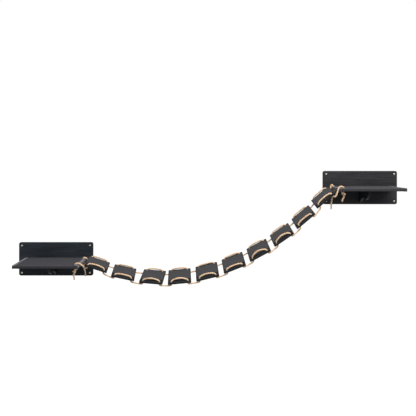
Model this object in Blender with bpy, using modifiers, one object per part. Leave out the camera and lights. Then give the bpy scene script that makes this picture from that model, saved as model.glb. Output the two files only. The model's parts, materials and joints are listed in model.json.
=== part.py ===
"""Cat wall walkway: two felt-topped wall shelves joined by a hanging bridge of treads on two ropes.

+X runs along the wall from the left shelf to the right one, +Y points into the wall and +Z is up.
The origin is the centre of the left back plate's rear face, so the wall is the plane y = 0.
"""

import math

import bmesh
import bpy
from mathutils import Matrix, Vector

# Clearances
SEAT_GAP = 0.0003
SCREW_CLEARANCE = 0.0003
ROPE_HOLE_CLEARANCE = 0.0008

# Back plates
PLATE_WIDTH = 0.400
PLATE_HEIGHT = 0.180
PLATE_THICKNESS = 0.012
PLATE_CORNER_RADIUS = 0.010
PLATE_EDGE_RADIUS = 0.003

# Platforms: a board, and the felt that wraps its top, front and ends and is hemmed underneath
PLATFORM_WIDTH = 0.330
PLATFORM_DEPTH = 0.220
PLATFORM_BOARD_THICKNESS = 0.012
PLATFORM_CORNER_RADIUS = 0.006
FELT_THICKNESS = 0.0018
FELT_EDGE_RADIUS = 0.0012
FELT_HEM = 0.034

# Scalloped brackets, as depths in front of the back plate and drops below the platform
BRACKET_THICKNESS = 0.012
BRACKET_DEPTH = 0.150
BRACKET_LIP = 0.006
OUTER_SCALLOP_BULGE = (0.133, 0.036)
SCALLOP_CUSP = (0.070, 0.044)
INNER_SCALLOP_BULGE = (0.034, 0.055)
BRACKET_ROOT_DROP = 0.076
BRACKET_EDGE_RADIUS = 0.0015

# Screws
WALL_SCREW_INSET = 0.017
WALL_SCREW_HEAD_RADIUS = 0.0048
WALL_SCREW_HEAD_HEIGHT = 0.0030
WALL_SCREW_SHANK_RADIUS = 0.0022
PAN_HEAD_SHAPE = ((0.0, 1.0), (0.55, 1.0), (0.88, 0.75), (1.0, 0.35), (1.0, 0.0))
HIDDEN_SCREW_HEAD_RADIUS = 0.0038
HIDDEN_SCREW_SHANK_RADIUS = 0.0017
HIDDEN_SCREW_POINT = 0.004
PLATFORM_SCREW_SPREAD = 0.220
PLATFORM_SCREW_LENGTH = 0.040
BRACKET_SCREW_DROP = 0.046
BRACKET_SCREW_LENGTH = 0.035
BRACKET_TOP_SCREW_DEPTH = 0.060
BRACKET_TOP_SCREW_LENGTH = 0.030

# Bridge: the treads hang in two slack lines, and the near line is the slacker one
TREAD_COUNT = 10
TREAD_LENGTH = 0.118
TREAD_DEPTH = 0.180
TREAD_THICKNESS = 0.009
TREAD_CORNER_RADIUS = 0.004
TREAD_EDGE_RADIUS = 0.001
TREAD_GAP = 0.0270
FAR_END_GAPS = (0.0215, 0.0278)
NEAR_END_GAPS = (0.034, 0.050)
FAR_EDGE_SHIFTS = {3: 0.013}
BRIDGE_CENTRE_DEPTH = 0.113
BRIDGE_RISE = 0.385
FAR_SLACK = 1.0783
NEAR_SLACK = 1.0957
HANG_LIFT = 0.0215
END_TREAD_EASE = 0.9

# Tread pads
PAD_THICKNESS = 0.0045
PAD_SIDE_MARGIN = 0.004
PAD_ROPE_MARGIN = 0.027
PAD_CORNER_RADIUS = 0.005
PAD_EDGE_RADIUS = 0.0015

# Ropes, with each arch's height above its tread, from the left tread to the right one
ROPE_DIAMETER = 0.008
ROPE_HOLE_INSET = 0.013
ROPE_HOLE_END_INSET = 0.017
ROPE_STRAIGHT = 0.003
ROPE_UNDER_DROP = 0.010
NEAR_ARCHES = (0.012, 0.0105, 0.0155, 0.017, 0.0155, 0.0115, 0.021, 0.018, 0.0105, 0.012)
FAR_ARCHES = (0.0095, 0.010, 0.012, 0.012, 0.0095, 0.010, 0.0115, 0.0095, 0.0095, 0.0095)
PLATFORM_HOLE_INSETS = {"near": 0.020, "far": 0.0105}
EDGE_BEND_REACHES = {"near": 0.010, "far": 0.0055}
EDGE_LIFTS = {"near": 0.003, "far": 0.0045}
EDGE_ANGLES = {"left": math.radians(16), "right": math.radians(40)}
EDGE_PULL = 0.3
END_HOLE_PULLS = {"left": 0.018, "right": 0.030}
BOW_HOLE_PULL = 0.010
BOW_FLATNESS = 0.5

# Knots under the platforms, sized in rope diameters
KNOT_SHAPE = (3.75, 3.0, 2.625)

# The loose tails below the knots: drop below the platform, sideways reach and sideways swing
TAILS = {
    ("left", "near"): (0.059, -0.004, -0.014),
    ("left", "far"): (0.073, 0.0115, 0.008),
    ("right", "near"): (0.050, -0.007, 0.0),
    ("right", "far"): (0.102, -0.0115, -0.008),
}

# Facets and tolerances
SAME_PLACE = 0.000001
WELD_DISTANCE = 0.00001
SHARP_EDGE = math.radians(50)
CORNER_STEPS = 3
HOLE_SIDES = 12
SCREW_SIDES = 10
ARC_STEPS = 6
ROPE_RUN_STEPS = 3
ROPE_ARCH_STEPS = 4
EDGE_STEPS = 5
ROPE_BEVEL_RESOLUTION = 2
KNOT_SEGMENTS = 12
KNOT_RINGS = 8
TAIL_STEPS = 6

# Derived sizes
FELT_REACH = FELT_THICKNESS + SEAT_GAP
PLATFORM_HALF_HEIGHT = PLATFORM_BOARD_THICKNESS / 2 + FELT_REACH
PLATFORM_REAR = PLATE_THICKNESS + SEAT_GAP
TREAD_HOLE_REACH = TREAD_LENGTH / 2 - ROPE_HOLE_END_INSET
ROPE_SPREAD = TREAD_DEPTH - 2 * ROPE_HOLE_INSET
KNOT_SIZE = tuple(share * ROPE_DIAMETER for share in KNOT_SHAPE)
ROPE_HOLE_RADIUS = (ROPE_DIAMETER / 2 + ROPE_HOLE_CLEARANCE) / math.cos(math.pi / HOLE_SIDES)
BRIDGE_Y = -(PLATE_THICKNESS + BRIDGE_CENTRE_DEPTH)
ROPE_SIDES = {"near": -1, "far": 1}
ARCHES = {"near": NEAR_ARCHES, "far": FAR_ARCHES}
FAR_LENGTH = TREAD_COUNT * TREAD_LENGTH + (TREAD_COUNT - 1) * TREAD_GAP + sum(FAR_END_GAPS)
BRIDGE_CHORD = FAR_LENGTH / FAR_SLACK
BRIDGE_SPAN = math.sqrt(BRIDGE_CHORD**2 - BRIDGE_RISE**2)
NEAR_LENGTH = BRIDGE_CHORD * NEAR_SLACK
SHELF_SPACING = BRIDGE_SPAN + PLATFORM_WIDTH
HANG_LEFT = Vector((PLATFORM_WIDTH / 2, 0, PLATFORM_HALF_HEIGHT + HANG_LIFT))


def clear_scene():
    for obj in list(bpy.data.objects):
        bpy.data.objects.remove(obj, do_unlink=True)


def new_collection(name):
    group = bpy.data.collections.new(name)
    bpy.context.scene.collection.children.link(group)
    return group


def new_material(name, colour, roughness, metallic=0.0):
    look = bpy.data.materials.new(name)
    look.use_nodes = True
    shader = look.node_tree.nodes["Principled BSDF"]
    shader.inputs["Base Color"].default_value = (*colour, 1)
    shader.inputs["Roughness"].default_value = roughness
    shader.inputs["Metallic"].default_value = metallic
    return look


class Workshop:
    """The collections and finishes that every piece is made with."""

    def __init__(self):
        self.parts = new_collection("cat_wall_walkway")
        self.tools = new_collection("cutters")
        self.stain = new_material("black_stained_wood", (0.020, 0.021, 0.024), 0.55)
        self.felt = new_material("grey_felt", (0.066, 0.062, 0.070), 0.95)
        self.pad = new_material("textured_pad", (0.058, 0.056, 0.064), 0.95)
        self.rope = new_material("twisted_rope", (0.76, 0.52, 0.31), 0.9)
        self.zinc = new_material("zinc_screw", (0.62, 0.58, 0.53), 0.35, 0.9)

    def part(self, name, data, look, parent=None, location=(0, 0, 0), rotation=(0, 0, 0)):
        piece = bpy.data.objects.new(name, data)
        if not data.materials:
            data.materials.append(look)
        self.parts.objects.link(piece)
        place(piece, parent, location, rotation)
        return piece

    def tool(self, name, data, parent=None, location=(0, 0, 0), rotation=(0, 0, 0)):
        cutter = bpy.data.objects.new(name, data)
        cutter.display_type = "WIRE"
        cutter.hide_render = True
        self.tools.objects.link(cutter)
        place(cutter, parent, location, rotation)
        return cutter

    def guide(self, name, matrix):
        empty = bpy.data.objects.new(name, None)
        self.parts.objects.link(empty)
        empty.matrix_world = matrix
        return empty


def place(piece, parent, location, rotation):
    piece.parent = parent
    piece.location = location
    piece.rotation_euler = rotation


def finish_mesh(bm, name):
    data = bpy.data.meshes.new(name)
    bm.to_mesh(data)
    bm.free()
    return data


def along(axis):
    """Picks the edges that run along an axis."""
    others = [i for i in range(3) if i != axis]
    return lambda a, b: all(abs(a[i] - b[i]) < SAME_PLACE for i in others)


def on_plane(axis, value):
    """Picks the edges that lie in a plane square to an axis."""
    return lambda a, b: all(abs(end[axis] - value) < SAME_PLACE for end in (a, b))


def box_mesh(name, size, centre=(0, 0, 0), rounds=()):
    """A box whose picked edges are rounded in turn: each round is (pick, radius, steps)."""
    bm = bmesh.new()
    bmesh.ops.create_cube(bm, size=1)
    bmesh.ops.scale(bm, vec=size, verts=bm.verts)
    bmesh.ops.translate(bm, vec=centre, verts=bm.verts)
    for pick, radius, steps in rounds:
        edges = [edge for edge in bm.edges if pick(*(vert.co for vert in edge.verts))]
        bmesh.ops.bevel(bm, geom=edges, offset=radius, segments=steps, profile=0.5, affect="EDGES")
    return finish_mesh(bm, name)


def rods_mesh(name, radius, length, places):
    """Upright rods, for cutting holes at several places at once."""
    bm = bmesh.new()
    for spot in places:
        bmesh.ops.create_cone(
            bm, cap_ends=True, segments=HOLE_SIDES, radius1=radius, radius2=radius,
            depth=length, matrix=Matrix.Translation(spot),
        )
    return finish_mesh(bm, name)


def turned_mesh(name, profile):
    """A profile of (radius, height) points, for a Screw modifier to turn."""
    bm = bmesh.new()
    verts = [bm.verts.new((radius, 0, height)) for radius, height in profile]
    for upper, lower in zip(verts, verts[1:]):
        bm.edges.new((upper, lower))
    return finish_mesh(bm, name)


def turn(piece):
    screw = piece.modifiers.new("turn", "SCREW")
    screw.axis = "Z"
    screw.angle = 2 * math.pi
    screw.steps = SCREW_SIDES
    screw.render_steps = SCREW_SIDES
    screw.use_merge_vertices = True
    screw.merge_threshold = WELD_DISTANCE
    return piece


def cut(piece, tool):
    boolean = piece.modifiers.new(f"cut_{tool.name}", "BOOLEAN")
    boolean.operation = "DIFFERENCE"
    boolean.solver = "EXACT"
    boolean.object = tool


def soften(piece, radius, steps):
    bevel = piece.modifiers.new("soften", "BEVEL")
    bevel.width = radius
    bevel.segments = steps
    bevel.limit_method = "ANGLE"
    bevel.angle_limit = SHARP_EDGE


def arc_through(start, middle, end, steps):
    """Points on the circle through three points, from start to end, without start itself."""
    (ax, ay), (bx, by), (cx, cy) = start, middle, end
    turn_size = 2 * (ax * (by - cy) + bx * (cy - ay) + cx * (ay - by))
    a2, b2, c2 = ax * ax + ay * ay, bx * bx + by * by, cx * cx + cy * cy
    ux = (a2 * (by - cy) + b2 * (cy - ay) + c2 * (ay - by)) / turn_size
    uy = (a2 * (cx - bx) + b2 * (ax - cx) + c2 * (bx - ax)) / turn_size
    radius = math.hypot(ax - ux, ay - uy)
    first = math.atan2(ay - uy, ax - ux)
    sweep = math.atan2(cy - uy, cx - ux) - first
    if turn_size > 0:
        sweep = sweep % (2 * math.pi)
    else:
        sweep = -(-sweep % (2 * math.pi))
    angles = [first + sweep * i / steps for i in range(1, steps + 1)]
    return [(ux + radius * math.cos(a), uy + radius * math.sin(a)) for a in angles]


def outline_mesh(name, points, thickness):
    """A flat outline as a filled 2D curve, made a closed mesh so that it can be cut."""
    curve = bpy.data.curves.new(name, "CURVE")
    curve.dimensions = "2D"
    curve.fill_mode = "BOTH"
    curve.extrude = thickness / 2
    spline = curve.splines.new("POLY")
    spline.points.add(len(points) - 1)
    for point, (x, y) in zip(spline.points, points):
        point.co = (x, y, 0, 1)
    spline.use_cyclic_u = True
    drawn = bpy.data.objects.new(name, curve)
    bpy.context.scene.collection.objects.link(drawn)
    graph = bpy.context.evaluated_depsgraph_get()
    data = bpy.data.meshes.new_from_object(drawn.evaluated_get(graph))
    bpy.data.objects.remove(drawn)
    bm = bmesh.new()
    bm.from_mesh(data)
    bmesh.ops.remove_doubles(bm, verts=bm.verts, dist=WELD_DISTANCE)
    bm.to_mesh(data)
    bm.free()
    return data


def tube(name, points):
    """A rope's plain tube through the points."""
    curve = bpy.data.curves.new(name, "CURVE")
    curve.dimensions = "3D"
    curve.bevel_depth = ROPE_DIAMETER / 2
    curve.bevel_resolution = ROPE_BEVEL_RESOLUTION
    curve.use_fill_caps = True
    spline = curve.splines.new("POLY")
    spline.points.add(len(points) - 1)
    for point, co in zip(spline.points, points):
        point.co = (*co, 1)
    return curve


def pan_screw_profile(length):
    """A pan-head screw with its seat at height 0."""
    radius, height = WALL_SCREW_HEAD_RADIUS, WALL_SCREW_HEAD_HEIGHT
    head = [(radius * across, height * up) for across, up in PAN_HEAD_SHAPE]
    shank = WALL_SCREW_SHANK_RADIUS
    return head + [(shank, 0), (shank, -length), (0, -length)]


def sunk_screw_profile(length, margin=0.0):
    """A countersunk screw with its head's flat face at height 0, or the hole for it."""
    head = HIDDEN_SCREW_HEAD_RADIUS + margin
    shank = HIDDEN_SCREW_SHANK_RADIUS + margin
    seat = -(head - shank)
    return [
        (0, 0), (head, 0), (shank, seat), (shank, -(length - HIDDEN_SCREW_POINT)),
        (0, -length),
    ]


def sunk_hole_profile(length):
    """The hole for a countersunk screw, open above its head."""
    head = HIDDEN_SCREW_HEAD_RADIUS + SCREW_CLEARANCE
    deepest = length + 2 * SCREW_CLEARANCE
    hole = sunk_screw_profile(deepest, SCREW_CLEARANCE)
    mouth = 2 * SEAT_GAP
    return [(0, mouth), (head, mouth)] + hole[1:]


def platform_box(name, grow, deepen):
    """The platform board's body, or a larger copy of it for its felt and the felt's cavity."""
    width = PLATFORM_WIDTH - 2 * FELT_REACH + 2 * grow
    depth = PLATFORM_DEPTH - FELT_REACH - SEAT_GAP + grow + deepen
    height = PLATFORM_BOARD_THICKNESS + 2 * grow
    centre = (0, deepen - depth / 2, 0)
    front = deepen - depth
    corner = PLATFORM_CORNER_RADIUS - FELT_REACH + grow
    rounds = [(lambda a, b: along(2)(a, b) and on_plane(1, front)(a, b), corner, CORNER_STEPS)]
    return box_mesh(name, (width, depth, height), centre, rounds)


def build_shelf(shop, side, corner, toward_bridge):
    """One wall shelf. toward_bridge is +1 or -1, the way from its centre to the bridge along X."""
    shelf = shop.guide(f"{side}_shelf", Matrix.Translation(corner))
    build_plate(shop, side, shelf)
    build_platform(shop, side, shelf, toward_bridge)
    build_bracket(shop, side, shelf)
    build_shelf_screws(shop, side, shelf)


def wall_screw_places():
    across = PLATE_WIDTH / 2 - WALL_SCREW_INSET
    up = PLATE_HEIGHT / 2 - WALL_SCREW_INSET
    return [(x, z) for z in (up, -up) for x in (-across, across)]


def rear_screws():
    """The screws driven from behind the plate: (name, x, z, length)."""
    half = PLATFORM_SCREW_SPREAD / 2
    return [
        ("platform_screw_a", -half, 0, PLATFORM_SCREW_LENGTH),
        ("platform_screw_b", half, 0, PLATFORM_SCREW_LENGTH),
        ("bracket_rear_screw", 0, -BRACKET_SCREW_DROP, BRACKET_SCREW_LENGTH),
    ]


def rear_screw_tool(shop, side, shelf, screw):
    name, x, z, length = screw
    data = turned_mesh(f"{name}_hole", sunk_hole_profile(length))
    place_at = (x, -SEAT_GAP, z)
    return turn(shop.tool(f"{side}_{name}_hole", data, shelf, place_at, (-math.pi / 2, 0, 0)))


def build_plate(shop, side, shelf):
    front = -PLATE_THICKNESS / 2
    rounds = [
        (along(1), PLATE_CORNER_RADIUS, CORNER_STEPS),
        (on_plane(1, front), PLATE_EDGE_RADIUS, 2),
    ]
    data = box_mesh("back_plate", (PLATE_WIDTH, PLATE_THICKNESS, PLATE_HEIGHT), rounds=rounds)
    plate = shop.part(f"{side}_back_plate", data, shop.stain, shelf, (0, -PLATE_THICKNESS / 2, 0))
    radius = (WALL_SCREW_SHANK_RADIUS + SCREW_CLEARANCE) / math.cos(math.pi / HOLE_SIDES)
    places = [(x, -z, PLATE_THICKNESS / 2) for x, z in wall_screw_places()]
    rods = rods_mesh("wall_screw_holes", radius, 2 * PLATE_THICKNESS, places)
    cut(plate, shop.tool(f"{side}_wall_screw_holes", rods, shelf, rotation=(math.pi / 2, 0, 0)))
    for screw in rear_screws():
        cut(plate, rear_screw_tool(shop, side, shelf, screw))


def build_platform(shop, side, shelf, toward_bridge):
    seat = (0, -PLATFORM_REAR, 0)
    board = shop.part(
        f"{side}_platform_board", platform_box("platform_board", 0, 0), shop.stain, shelf, seat
    )
    felt = shop.part(
        f"{side}_platform_felt", platform_box("platform_felt", FELT_REACH, 0), shop.felt, shelf, seat
    )
    soften(felt, FELT_EDGE_RADIUS, 2)
    cavity = platform_box("felt_cavity", SEAT_GAP, 2 * FELT_HEM)
    cut(felt, shop.tool(f"{side}_felt_cavity", cavity, shelf, seat))
    window_size = (
        PLATFORM_WIDTH - 2 * FELT_HEM, 2 * (PLATFORM_DEPTH - FELT_HEM), PLATFORM_BOARD_THICKNESS
    )
    window = box_mesh("hem_window", window_size, (0, 0, -PLATFORM_HALF_HEIGHT))
    cut(felt, shop.tool(f"{side}_hem_window", window, shelf, seat))
    places = [platform_hole("left", rope) for rope in ROPE_SIDES]
    places = [(toward_bridge * place.x, place.y, 0) for place in places]
    rods = rods_mesh("platform_rope_holes", ROPE_HOLE_RADIUS, 4 * PLATFORM_HALF_HEIGHT, places)
    rope_holes = shop.tool(f"{side}_platform_rope_holes", rods, shelf)
    cut(board, rope_holes)
    cut(felt, rope_holes)
    for screw in rear_screws()[:2]:
        cut(board, rear_screw_tool(shop, f"{side}_board", shelf, screw))
    cut(board, top_screw_tool(shop, f"{side}_board", shelf))


def top_screw_place():
    top = PLATFORM_BOARD_THICKNESS / 2 - SEAT_GAP
    return (0, -(PLATE_THICKNESS + BRACKET_TOP_SCREW_DEPTH), top)


def top_screw_tool(shop, side, shelf):
    data = turned_mesh("bracket_top_screw_hole", sunk_hole_profile(BRACKET_TOP_SCREW_LENGTH))
    return turn(shop.tool(f"{side}_bracket_top_screw_hole", data, shelf, top_screw_place()))


def bracket_outline():
    """The scalloped side view, with x as depth in front of the plate and y as height."""
    top = -(PLATFORM_BOARD_THICKNESS / 2 + SEAT_GAP)

    def below(point):
        return (point[0], -PLATFORM_HALF_HEIGHT - point[1])

    tip = below((BRACKET_DEPTH, BRACKET_LIP))
    cusp = below(SCALLOP_CUSP)
    root = below((SEAT_GAP, BRACKET_ROOT_DROP))
    outer = arc_through(tip, below(OUTER_SCALLOP_BULGE), cusp, ARC_STEPS)
    inner = arc_through(cusp, below(INNER_SCALLOP_BULGE), root, ARC_STEPS)
    return [(SEAT_GAP, top), (BRACKET_DEPTH, top), tip] + outer + inner


def build_bracket(shop, side, shelf):
    data = outline_mesh("bracket", bracket_outline(), BRACKET_THICKNESS)
    facing_out = (math.pi / 2, 0, -math.pi / 2)
    bracket = shop.part(
        f"{side}_bracket", data, shop.stain, shelf, (0, -PLATE_THICKNESS, 0), facing_out
    )
    soften(bracket, BRACKET_EDGE_RADIUS, 1)
    cut(bracket, rear_screw_tool(shop, f"{side}_bracket", shelf, rear_screws()[2]))
    cut(bracket, top_screw_tool(shop, f"{side}_bracket", shelf))


def build_shelf_screws(shop, side, shelf):
    data = turned_mesh("wall_screw", pan_screw_profile(PLATE_THICKNESS))
    for number, (x, z) in enumerate(wall_screw_places(), 1):
        seat = (x, -(PLATE_THICKNESS + SEAT_GAP), z)
        name = f"{side}_wall_screw_{number}"
        turn(shop.part(name, data, shop.zinc, shelf, seat, (math.pi / 2, 0, 0)))
    for name, x, z, length in rear_screws():
        data = turned_mesh(name, sunk_screw_profile(length))
        seat = (x, -SEAT_GAP, z)
        turn(shop.part(f"{side}_{name}", data, shop.zinc, shelf, seat, (-math.pi / 2, 0, 0)))
    data = turned_mesh("bracket_top_screw", sunk_screw_profile(BRACKET_TOP_SCREW_LENGTH))
    turn(shop.part(f"{side}_bracket_top_screw", data, shop.zinc, shelf, top_screw_place()))


class HangingLine:
    """The catenary of a given length from (0, 0) to (span, rise)."""

    def __init__(self, span, rise, length):
        stretch = math.sqrt(length**2 - rise**2) / span
        low, high = 1e-6, 20.0
        for _ in range(80):
            middle = (low + high) / 2
            if math.sinh(middle) / middle < stretch:
                low = middle
            else:
                high = middle
        self.scale = span / (2 * low)
        self.vertex = span / 2 - self.scale * math.atanh(rise / length)
        self.start_arc = self.scale * math.sinh(self.vertex / self.scale)
        self.base = self.scale * math.cosh(self.vertex / self.scale)

    def point(self, arc):
        """The point at a distance along the line, as a vector in the XZ plane."""
        run = self.scale * math.asinh((arc - self.start_arc) / self.scale)
        height = self.scale * math.cosh(run / self.scale) - self.base
        return Vector((self.vertex + run, 0, height))

    def slope(self, arc):
        return math.atan((arc - self.start_arc) / self.scale)


def spread(first, last, share):
    return first + (last - first) * share


def tread_arc(end_gaps, length, share):
    """How far along its line a tread's centre lies."""
    half = TREAD_LENGTH / 2
    return spread(end_gaps[0] + half, length - end_gaps[1] - half, share)


def tread_frames():
    """Each tread's centre and axes: along the bridge, across it towards the wall, and up out of it."""
    near_line = HangingLine(BRIDGE_SPAN, BRIDGE_RISE, NEAR_LENGTH)
    far_line = HangingLine(BRIDGE_SPAN, BRIDGE_RISE, FAR_LENGTH)
    frames = []
    for index in range(TREAD_COUNT):
        share = index / (TREAD_COUNT - 1)
        near_arc = tread_arc(NEAR_END_GAPS, NEAR_LENGTH, share)
        far_arc = tread_arc(FAR_END_GAPS, FAR_LENGTH, share)
        far_arc += FAR_EDGE_SHIFTS.get(index + 1, 0)
        near, far = near_line.point(near_arc), far_line.point(far_arc)
        slope = (near_line.slope(near_arc) + far_line.slope(far_arc)) / 2
        if index in (0, TREAD_COUNT - 1):
            slope *= END_TREAD_EASE
        centre = HANG_LEFT + (near + far) / 2 + Vector((0, BRIDGE_Y, 0))
        across = (far - near + Vector((0, ROPE_SPREAD, 0))).normalized()
        level = Vector((math.cos(slope), 0, math.sin(slope)))
        lengthwise = (level - across * level.dot(across)).normalized()
        upward = lengthwise.cross(across)
        turned = Matrix((lengthwise, across, upward)).transposed().to_4x4()
        frames.append(Matrix.Translation(centre) @ turned)
    return frames


def build_treads(shop):
    corners = (along(2), TREAD_CORNER_RADIUS, 2)
    board_size = (TREAD_LENGTH, TREAD_DEPTH, TREAD_THICKNESS)
    board_data = box_mesh("tread_board", board_size, rounds=[corners])
    pad_size = (
        TREAD_LENGTH - 2 * PAD_SIDE_MARGIN, TREAD_DEPTH - 2 * PAD_ROPE_MARGIN, PAD_THICKNESS
    )
    pad_rounds = [
        (along(2), PAD_CORNER_RADIUS, 2),
        (on_plane(2, PAD_THICKNESS / 2), PAD_EDGE_RADIUS, 1),
    ]
    pad_data = box_mesh("tread_pad", pad_size, rounds=pad_rounds)
    across = ROPE_SPREAD / 2
    places = [(x, y, 0) for x in (-TREAD_HOLE_REACH, TREAD_HOLE_REACH) for y in (-across, across)]
    holes_data = rods_mesh("tread_rope_holes", ROPE_HOLE_RADIUS, 3 * TREAD_THICKNESS, places)
    pad_seat = (0, 0, TREAD_THICKNESS / 2 + SEAT_GAP + PAD_THICKNESS / 2)
    for number, frame in enumerate(tread_frames(), 1):
        name = f"tread_{number:02d}"
        hinge = shop.guide(f"{name}_hinge", frame)
        board = shop.part(f"{name}_board", board_data, shop.stain, hinge)
        soften(board, TREAD_EDGE_RADIUS, 1)
        cut(board, shop.tool(f"{name}_rope_holes", holes_data, hinge))
        shop.part(f"{name}_pad", pad_data, shop.pad, hinge, pad_seat)


def curve_points(start, start_pull, end, end_pull, steps):
    """A cubic curve leaving start by start_pull and reaching end by end_pull, without start itself."""
    first, last = start + start_pull, end - end_pull
    points = []
    for i in range(1, steps + 1):
        t = i / steps
        s = 1 - t
        points.append(start * s**3 + first * (3 * s * s * t) + last * (3 * s * t * t) + end * t**3)
    return points


def bowed_run(start, start_way, end, end_way, bow, steps):
    """A rope's run from one hole to the next, bowed out by a vector at its middle."""
    middle = (start + end) / 2 + bow
    half = (end - start) / 2
    flat = half * BOW_FLATNESS
    return (
        curve_points(start, start_way * BOW_HOLE_PULL, middle, flat, steps)
        + curve_points(middle, flat, end, end_way * BOW_HOLE_PULL, steps)
    )


def platform_hole(side, rope):
    """The rope hole of a platform: a point at the platform's middle height on the hole's axis."""
    reach = PLATFORM_WIDTH / 2 - PLATFORM_HOLE_INSETS[rope]
    y = BRIDGE_Y + ROPE_SIDES[rope] * ROPE_SPREAD / 2
    if side == "left":
        return Vector((reach, y, 0))
    return Vector((SHELF_SPACING - reach, y, BRIDGE_RISE))


def shelf_end_run(side, rope, tread_hole, tread_up):
    """The rope from a platform's hole, over the platform's end edge and down to the end tread's hole."""
    outward = Vector((1, 0, 0)) if side == "left" else Vector((-1, 0, 0))
    up = Vector((0, 0, 1))
    hole = platform_hole(side, rope)
    bend = EDGE_BEND_REACHES[rope]
    start = hole - up * PLATFORM_HALF_HEIGHT
    climb = hole + up * (PLATFORM_HALF_HEIGHT + ROPE_STRAIGHT)
    over = hole + outward * PLATFORM_HOLE_INSETS[rope]
    over += up * (PLATFORM_HALF_HEIGHT + ROPE_DIAMETER / 2 + EDGE_LIFTS[rope])
    angle = EDGE_ANGLES[side]
    away = outward * math.cos(angle) - up * math.sin(angle)
    reach = (tread_hole - over).length
    rise = tread_up * END_HOLE_PULLS[side]
    return (
        [start, climb]
        + curve_points(climb, up * bend, over, away * bend, EDGE_STEPS)
        + curve_points(over, away * EDGE_PULL * reach, tread_hole, rise, EDGE_STEPS)
    )


def rope_route(rope):
    """A rope's route from the left platform's hole to the right one's, through every tread."""
    frames = tread_frames()
    out = TREAD_THICKNESS / 2 + ROPE_STRAIGHT
    y = ROPE_SIDES[rope] * ROPE_SPREAD / 2
    points = []
    last_exit = None
    last_down = None
    for index, frame in enumerate(frames):
        up = frame.to_3x3() @ Vector((0, 0, 1))
        left_low, left_high = (frame @ Vector((-TREAD_HOLE_REACH, y, h)) for h in (-out, out))
        right_low, right_high = (frame @ Vector((TREAD_HOLE_REACH, y, h)) for h in (-out, out))
        if index == 0:
            points += shelf_end_run("left", rope, left_low, up)
        else:
            bow = (last_down - up).normalized() * (ROPE_UNDER_DROP - ROPE_STRAIGHT)
            points += bowed_run(last_exit, last_down, left_low, up, bow, ROPE_RUN_STEPS)
        arch = ARCHES[rope][index % len(ARCHES[rope])] - ROPE_STRAIGHT
        points.append(left_high)
        points += bowed_run(left_high, up, right_high, -up, up * arch, ROPE_ARCH_STEPS)
        points.append(right_low)
        last_exit, last_down = right_low, -up
    finish = shelf_end_run("right", rope, last_exit, -last_down)
    return points + finish[-2::-1]


def tail_route(side, rope):
    """A tail's route straight down out of its knot, then sideways towards the bridge and down."""
    drop, reach, swing = TAILS[side, rope]
    hole = platform_hole(side, rope)
    knot_bottom = PLATFORM_HALF_HEIGHT + SEAT_GAP + KNOT_SIZE[2] + SEAT_GAP
    start = hole - Vector((0, 0, knot_bottom))
    clear = start - Vector((0, 0, ROPE_STRAIGHT))
    end = hole + Vector((reach, 0, -PLATFORM_HALF_HEIGHT - drop))
    pull = Vector((0, 0, -(clear.z - end.z) / 2))
    leave = pull + Vector((swing, 0, 0))
    return [start, clear] + curve_points(clear, leave, end, pull, TAIL_STEPS)


def knot_mesh():
    bm = bmesh.new()
    bmesh.ops.create_uvsphere(bm, u_segments=KNOT_SEGMENTS, v_segments=KNOT_RINGS, radius=0.5)
    bmesh.ops.scale(bm, vec=KNOT_SIZE, verts=bm.verts)
    data = finish_mesh(bm, "knot")
    data.shade_smooth()
    return data


def build_ropes(shop):
    knot = knot_mesh()
    for rope in ROPE_SIDES:
        shop.part(f"{rope}_rope", tube(f"{rope}_rope", rope_route(rope)), shop.rope)
        for side in ("left", "right"):
            seat = platform_hole(side, rope)
            seat.z -= PLATFORM_HALF_HEIGHT + SEAT_GAP + KNOT_SIZE[2] / 2
            shop.part(f"{side}_{rope}_knot", knot, shop.rope, location=seat)
            name = f"{side}_{rope}_tail"
            shop.part(name, tube(name, tail_route(side, rope)), shop.rope)


def main():
    clear_scene()
    shop = Workshop()
    build_shelf(shop, "left", Vector((0, 0, 0)), 1)
    build_shelf(shop, "right", Vector((SHELF_SPACING, 0, BRIDGE_RISE)), -1)
    build_treads(shop)
    build_ropes(shop)


if __name__ == "__main__":
    main()
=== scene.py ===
"""Cat wall walkway: the finishes, ropes, knots, felt covers, pads, screws and studio of its model.

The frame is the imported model's own, in metres: +X along the wall towards the higher shelf, +Y into
the wall and +Z up, from the centre of the left back plate's rear face.
"""

import json
import math
import random
from itertools import product

import bmesh
import bpy
import numpy as np
from mathutils import Matrix, Vector, noise


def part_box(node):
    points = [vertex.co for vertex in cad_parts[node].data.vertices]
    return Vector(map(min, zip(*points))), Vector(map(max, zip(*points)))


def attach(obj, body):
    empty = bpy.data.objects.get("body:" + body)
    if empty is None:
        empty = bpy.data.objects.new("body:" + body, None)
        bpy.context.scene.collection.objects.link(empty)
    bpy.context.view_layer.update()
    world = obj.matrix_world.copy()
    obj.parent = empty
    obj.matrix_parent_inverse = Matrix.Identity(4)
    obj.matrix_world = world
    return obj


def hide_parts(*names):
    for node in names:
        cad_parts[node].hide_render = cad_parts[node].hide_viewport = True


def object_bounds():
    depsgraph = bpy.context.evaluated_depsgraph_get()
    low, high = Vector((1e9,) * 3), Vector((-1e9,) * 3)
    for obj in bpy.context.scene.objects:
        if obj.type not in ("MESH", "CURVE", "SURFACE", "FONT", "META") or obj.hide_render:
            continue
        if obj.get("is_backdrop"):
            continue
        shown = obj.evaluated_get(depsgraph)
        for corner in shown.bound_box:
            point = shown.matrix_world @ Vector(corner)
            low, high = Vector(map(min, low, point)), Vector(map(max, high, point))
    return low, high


bl_info = {
    "name": "Cat Wall Walkway",
    "version": (1, 0, 0),
    "blender": (4, 5, 0),
    "location": "View3D > Sidebar > Walkway",
    "description": "Finishes, ropes, felt and studio for a cat wall walkway",
    "category": "Object",
}

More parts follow.
